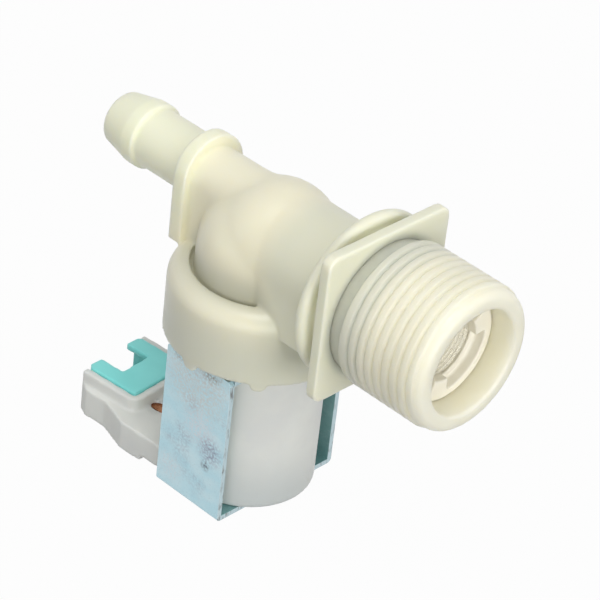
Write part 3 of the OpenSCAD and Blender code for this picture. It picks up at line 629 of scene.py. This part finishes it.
# %% [markdown]
# ## The threaded nose
# A hose's nut screws onto the nose. Its thread is one ridge that climbs a pitch on each turn.
# Rings side by side would be easier, but the eye finds no start and no end on them. Here a
# small ridge profile is spun round the axis while it moves forward, and its two ends sink
# into the wall, as the ends of a moulded thread do. The wall itself is a full spin.

# %% Sizes of the thread and the wall
thread_pitch = 1.814 * mm
thread_depth = 0.45 * mm
thread_turns = 8.9
crest_half = 0.5 * mm
foot_half = 0.82 * mm
first_ring_r = thread_r - 0.1 * mm
first_ring_len = 1.3 * mm
root_r = thread_r - thread_depth
print("root radius:", round(root_r / mm, 2), "mm")
neck_r = 12.12 * mm
neck_end_x = flange_front_x + 2.8 * mm
bore_r = 8.6 * mm
mouth_r = 9.6 * mm
filter_low, filter_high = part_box("filter_frame")
filter_ring_t = 2.6 * mm
seat_x = filter_high.x - filter_ring_t
nose_root = 1.0 * mm
print("thread:", thread_turns, "turns of", round(thread_pitch / mm, 3), "mm")


# %% Spin the wall of the nose
def outline(bm, points):
    """A closed chain of vertices in the XZ plane from (x, radius) pairs."""
    verts = [bm.verts.new((x, 0, radius)) for x, radius in points]
    for pair in zip(verts, verts[1:] + verts[:1]):
        bm.edges.new(pair)
    return verts


turn_steps = 128
rear_x = flange_front_x - nose_root
nose_bm = bmesh.new()
wall = outline(nose_bm, [
    (rear_x, bore_r), (seat_x, bore_r), (seat_x, mouth_r), (mouth_x, mouth_r),
    (mouth_x, root_r), (neck_end_x + first_ring_len, root_r),
    (neck_end_x + first_ring_len, first_ring_r), (neck_end_x, first_ring_r),
    (neck_end_x, neck_r), (rear_x, neck_r)])
bmesh.ops.bevel(
    nose_bm, geom=[wall[4]], offset=1.5 * mm, offset_type="OFFSET", affect="VERTICES",
    segments=8, profile=0.5, material=-1)
bmesh.ops.bevel(
    nose_bm, geom=[wall[3]], offset=0.5 * mm, offset_type="OFFSET", affect="VERTICES",
    segments=4, profile=0.5, material=-1)
bmesh.ops.spin(
    nose_bm, geom=nose_bm.verts[:] + nose_bm.edges[:], cent=(0, 0, 0), axis=(1, 0, 0),
    angle=2 * math.pi, steps=turn_steps, use_merge=True)
bmesh.ops.recalc_face_normals(nose_bm, faces=nose_bm.faces)
print("wall of the nose:", len(nose_bm.faces), "faces")

# %% Spin the ridge of the thread and sink its two ends
fade_steps = turn_steps // 6
first_x = thread_mid_x - thread_pitch * 4.62
sunk_r = root_r - 0.3 * mm
ridge_bm = bmesh.new()
ridge = outline(ridge_bm, [
    (first_x - foot_half, sunk_r), (first_x - foot_half, root_r), (first_x - crest_half, thread_r),
    (first_x + crest_half, thread_r), (first_x + foot_half, root_r), (first_x + foot_half, sunk_r)])
ridge_size = len(ridge)
cap = ridge_bm.faces.new(ridge)
half_turn = Matrix.Rotation(math.pi, 4, "X")
bmesh.ops.transform(ridge_bm, matrix=half_turn, verts=ridge_bm.verts)
ridge_steps = round(turn_steps * thread_turns)
bmesh.ops.spin(
    ridge_bm, geom=[cap], cent=(0, 0, 0), axis=(1, 0, 0),
    dvec=(thread_pitch / turn_steps, 0, 0), angle=2 * math.pi * thread_turns, steps=ridge_steps)
for index, vert in enumerate(ridge_bm.verts):
    step = index // ridge_size
    from_end = min(step, ridge_steps - step)
    radius = math.hypot(vert.co.y, vert.co.z)
    if from_end < fade_steps and radius > sunk_r:
        lowered = sunk_r + (radius - sunk_r) * (0.15 + 0.85 * from_end / fade_steps)
        vert.co.y *= lowered / radius
        vert.co.z *= lowered / radius
open_edges = [edge for edge in ridge_bm.edges if edge.is_boundary]
if open_edges:
    bmesh.ops.holes_fill(ridge_bm, edges=open_edges, sides=0)
bmesh.ops.recalc_face_normals(ridge_bm, faces=ridge_bm.faces)
print("ridge:", len(ridge_bm.faces), "faces, up to x =",
      round(max(vert.co.x for vert in ridge_bm.verts) / mm, 2), "mm")

# %% Join the ridge to the wall
ridge_mesh = bpy.data.meshes.new("thread_ridge")
ridge_bm.to_mesh(ridge_mesh)
ridge_bm.free()
nose_bm.from_mesh(ridge_mesh)
inlet_nose = new_object("inlet_nose", nose_bm, [nose_nylon])
soften(inlet_nose, 0.13 * mm, rounds=6)
settle(inlet_nose, "root", "natural_plastic")

# %% [markdown]
# ## The filter
# A filter sits in the mouth and keeps sand out. Its frame has a ring with three lugs to grip it
# by, three ribs and a closed end. The wall between the ribs is a woven mesh. A real weave has
# thousands of threads, too many to sweep one by one. A cone of small squares with the
# Wireframe modifier gives the same look, since each edge of a square becomes one thread.

# %% Soften the filter's frame
filter_frame = new_object("filter_basket", merged_copy("filter_frame"), [filter_nylon])
soften(filter_frame, 0.2 * mm, rounds=3)
settle(filter_frame, "root", "natural_plastic", "filter_frame")

# %% Weave the filter's mesh
mesh_pitch = 0.55 * mm
mesh_low, mesh_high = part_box("filter_mesh")
mesh_wall = 0.25 * mm
mesh_start_r = mesh_high.z - mesh_wall
mesh_end_r = 3.85 * mm - mesh_wall
mesh_len = mesh_high.x - mesh_low.x
rows = round(mesh_len / mesh_pitch)
columns = round(2 * math.pi * mesh_start_r / mesh_pitch)
weave_bm = bmesh.new()
bmesh.ops.create_cone(
    weave_bm, cap_ends=False, segments=columns, radius1=mesh_end_r, radius2=mesh_start_r,
    depth=mesh_len)
long_edges = [edge for edge in weave_bm.edges if abs(edge.verts[0].co.z - edge.verts[1].co.z) > mm]
bmesh.ops.subdivide_edges(weave_bm, edges=long_edges, cuts=rows - 1, use_grid_fill=False)
stand_up = Matrix.Rotation(math.pi / 2, 4, "Y")
bmesh.ops.transform(weave_bm, matrix=stand_up, verts=weave_bm.verts)
bmesh.ops.translate(
    weave_bm, vec=((mesh_low.x + mesh_high.x) / 2, 0, 0), verts=weave_bm.verts)
bmesh.ops.recalc_face_normals(weave_bm, faces=weave_bm.faces)
filter_weave = new_object("filter_weave", weave_bm, [mesh_nylon])
wires = filter_weave.modifiers.new("wires", "WIREFRAME")
wires.thickness = 0.22 * mm
wires.use_even_offset = False
apply_modifiers(filter_weave)
settle(filter_weave, "root", "mesh_plastic")

# %% [markdown]
# ## The coil's jacket
# White plastic is moulded over the coil and its plug socket in one shot. It has soft corners
# everywhere, so it's softened in the same way as the body.

# %% Soften the jacket
coil_jacket = new_object("coil_jacket", merged_copy("coil_overmould"), [coil_white])
soften(coil_jacket, 0.28 * mm, rounds=5)
settle(coil_jacket, "root", "white_plastic", "coil_overmould")

# %% Soften the teal bobbin a little
coil_former = new_object("coil_former", merged_copy("coil_bobbin"), [socket_teal])
soften(coil_former, 0.27 * mm, rounds=2)
settle(coil_former, "root", "teal_plastic", "coil_bobbin")

# %% [markdown]
# ## Crisp parts
# Sheet steel and turned metal have sharp, thin edges, and rebuilding them in squares would make
# them look like soap. For these, the loose triangles of the solid are joined, flat areas become
# single faces again, and a narrow bevel goes round every real edge, so that it
# catches the light as a real one does.


# %% Make crisp copies
def crisp_copy(name, node_name, edge_width, finishes, steps=2):
    """A copy of a solid with clean faces and a narrow bevel along its sharp edges."""
    bm = merged_copy(node_name)
    bmesh.ops.dissolve_limit(
        bm, angle_limit=math.radians(1), verts=bm.verts, edges=bm.edges)
    sharp = [edge for edge in bm.edges if edge.calc_face_angle(0) > math.radians(40)]
    bmesh.ops.bevel(
        bm, geom=sharp, offset=edge_width, offset_type="OFFSET", affect="EDGES",
        segments=steps, profile=0.5, clamp_overlap=True, material=-1)
    bmesh.ops.recalc_face_normals(bm, faces=bm.faces)
    for face in bm.faces:
        face.smooth = True
    piece = new_object(name, bm, finishes)
    flatten = piece.modifiers.new("flats", "WEIGHTED_NORMAL")
    flatten.keep_sharp = True
    apply_modifiers(piece)
    return piece


yoke = crisp_copy("yoke_sheet", "yoke_frame", 0.12 * mm, [zinc_blue, zinc_shade, edge_steel])
print("yoke:", len(yoke.data.polygons), "faces")

# %% Give the sheet its finishes and its painted shade inside
sheet_t = 1.0 * mm
inner_y = yoke_high.y - sheet_t
# Faces inside the yoke get zinc_shade as painted shade, cut edges get edge_steel, the rest zinc_blue.
for face in yoke.data.polygons:
    middle, facing = face.center, face.normal
    shaded_inside = abs(middle.y) < inner_y + 0.05 * mm and middle.z > yoke_low.z + 0.9 * sheet_t
    cut_edge = abs(facing.x) > 0.9 or (facing.z > 0.9 and middle.z > yoke_high.z - 0.3 * mm)
    face.material_index = 2 if cut_edge else 1 if shaded_inside else 0
settle(yoke, "root", "zinc_steel", "yoke_frame")

# %% The top plate
top_plate = crisp_copy("yoke_lid", "yoke_top_plate", 0.1 * mm, [edge_steel])
settle(top_plate, "root", "zinc_steel", "yoke_top_plate")

# %% [markdown]
# ## The return spring
# The spring pushes the plunger up when the coil is off. A wire's section is spun round the coil
# axis while it climbs. When the plunger comes down, a real spring gets shorter with its foot in
# place.

# %% Wind the return spring
spring_low, spring_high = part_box("plunger_spring")
wire_r = 0.2 * mm
spring_turns = 10
spring_r = (spring_high.y - spring_low.y) / 2 - wire_r
spring_rise = spring_high.z - spring_low.z - 2 * wire_r
steps_a_turn = 24
spring_bm = bmesh.new()
bmesh.ops.create_circle(spring_bm, cap_ends=True, segments=8, radius=wire_r)
bmesh.ops.rotate(
    spring_bm, cent=(0, 0, 0), matrix=Matrix.Rotation(math.pi / 2, 3, "X"), verts=spring_bm.verts)
bmesh.ops.translate(
    spring_bm, vec=(coil_x + spring_r, 0, spring_low.z + wire_r), verts=spring_bm.verts)
spring_steps = spring_turns * steps_a_turn
bmesh.ops.spin(
    spring_bm, geom=spring_bm.faces[:], cent=(coil_x, 0, 0), axis=(0, 0, 1),
    dvec=(0, 0, spring_rise / spring_steps), angle=2 * math.pi * spring_turns, steps=spring_steps)
bmesh.ops.holes_fill(
    spring_bm, edges=[edge for edge in spring_bm.edges if edge.is_boundary], sides=0)
bmesh.ops.recalc_face_normals(spring_bm, faces=spring_bm.faces)
for face in spring_bm.faces:
    face.smooth = True
return_spring = new_object("return_spring", spring_bm, [turned_steel])
settle(return_spring, "root", "stainless_steel", "plunger_spring")
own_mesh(return_spring)

# %% [markdown]
# ## The diaphragm
# The diaphragm is a rubber disc with a clamped rim, a rolling web and a thick middle that lifts
# with its insert. Here it is made of twelve equal sectors, each spun from the same section.

# %% Spin the sectors of the diaphragm
rubber_low, rubber_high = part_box("diaphragm")
insert_low, insert_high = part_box("diaphragm_insert")
rim_out_r = (rubber_high.x - rubber_low.x) / 2
rim_in_r, rim_low_z, rim_high_z = 10.5 * mm, -14.6 * mm, -13.0 * mm
pad_in_r, pad_out_r = 2.45 * mm, 6.3 * mm
pad_low_z, pad_high_z = -14.35 * mm, rubber_high.z
web_low_z, web_t = rubber_low.z, 0.6 * mm
web_mid_r = (pad_out_r + rim_in_r) / 2
sector_count = 12
sector_angle = 2 * math.pi / sector_count


def web_curve(half_width, drop, points=7):
    """Points of the hanging web from the rim to the pad: a half ring seen in section."""
    return [(web_mid_r + half_width * math.cos(math.pi * i / (points - 1)),
             rim_low_z + web_t - drop * math.sin(math.pi * i / (points - 1)))
            for i in range(points)]


web_half = (rim_in_r - pad_out_r + web_t) / 2
web_drop = rim_low_z + web_t - web_low_z
lower = web_curve(web_half, web_drop)
upper = web_curve(web_half - web_t, web_drop - web_t)[::-1]
section = [(pad_in_r, pad_high_z), (pad_out_r, pad_high_z), *upper, (rim_in_r, rim_high_z),
           (rim_out_r, rim_high_z), (rim_out_r, rim_low_z), *lower, (pad_in_r, pad_low_z)]
for number in range(sector_count):
    sector_bm = bmesh.new()
    corners = [sector_bm.verts.new((coil_x + r, 0, z)) for r, z in section]
    sector_bm.faces.new(corners)
    middle = sector_angle * number
    bmesh.ops.rotate(
        sector_bm, cent=(coil_x, 0, 0), verts=sector_bm.verts,
        matrix=Matrix.Rotation(middle - sector_angle / 2, 3, "Z"))
    bmesh.ops.spin(
        sector_bm, geom=sector_bm.faces[:], cent=(coil_x, 0, 0), axis=(0, 0, 1),
        angle=sector_angle, steps=6)
    bmesh.ops.holes_fill(
        sector_bm, edges=[edge for edge in sector_bm.edges if edge.is_boundary], sides=0)
    bmesh.ops.recalc_face_normals(sector_bm, faces=sector_bm.faces)
    sector = new_object(f"diaphragm_sector_{number + 1}", sector_bm, [black_rubber])
    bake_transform(sector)
    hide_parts("diaphragm")
print("diaphragm sectors:", sector_count)

# %% [markdown]
# ## Parts that stay as they are
# The inner parts already have their true shape in the model, so they keep their mesh and only
# get a finish.

# %% Finish the carried-over solids
for node_name, finish in {
        "filter_mesh": mesh_nylon, "flow_holder": inner_white, "flow_washer": black_rubber,
        "diaphragm_insert": inner_white, "bonnet": inner_white, "plunger": turned_steel,
        "plunger_seal": black_rubber,
        "pole_sleeve_upper": zinc_blue, "pole_sleeve_lower": zinc_blue,
        "coil_winding": winding_copper, "terminal_near": terminal_brass,
        "terminal_far": terminal_brass}.items():
    solid = nodes[node_name]
    if not solid.material_slots:
        solid.data.materials.append(finish)
    for slot in solid.material_slots:
        slot.material = finish
print("all solids have a finish")

# %% [markdown]
# ## The size
# The imported model's box is printed.

# %% Print the imported model's box
print("CAD box", [round(c / mm, 2) for c in (*cad_low, *cad_high)])
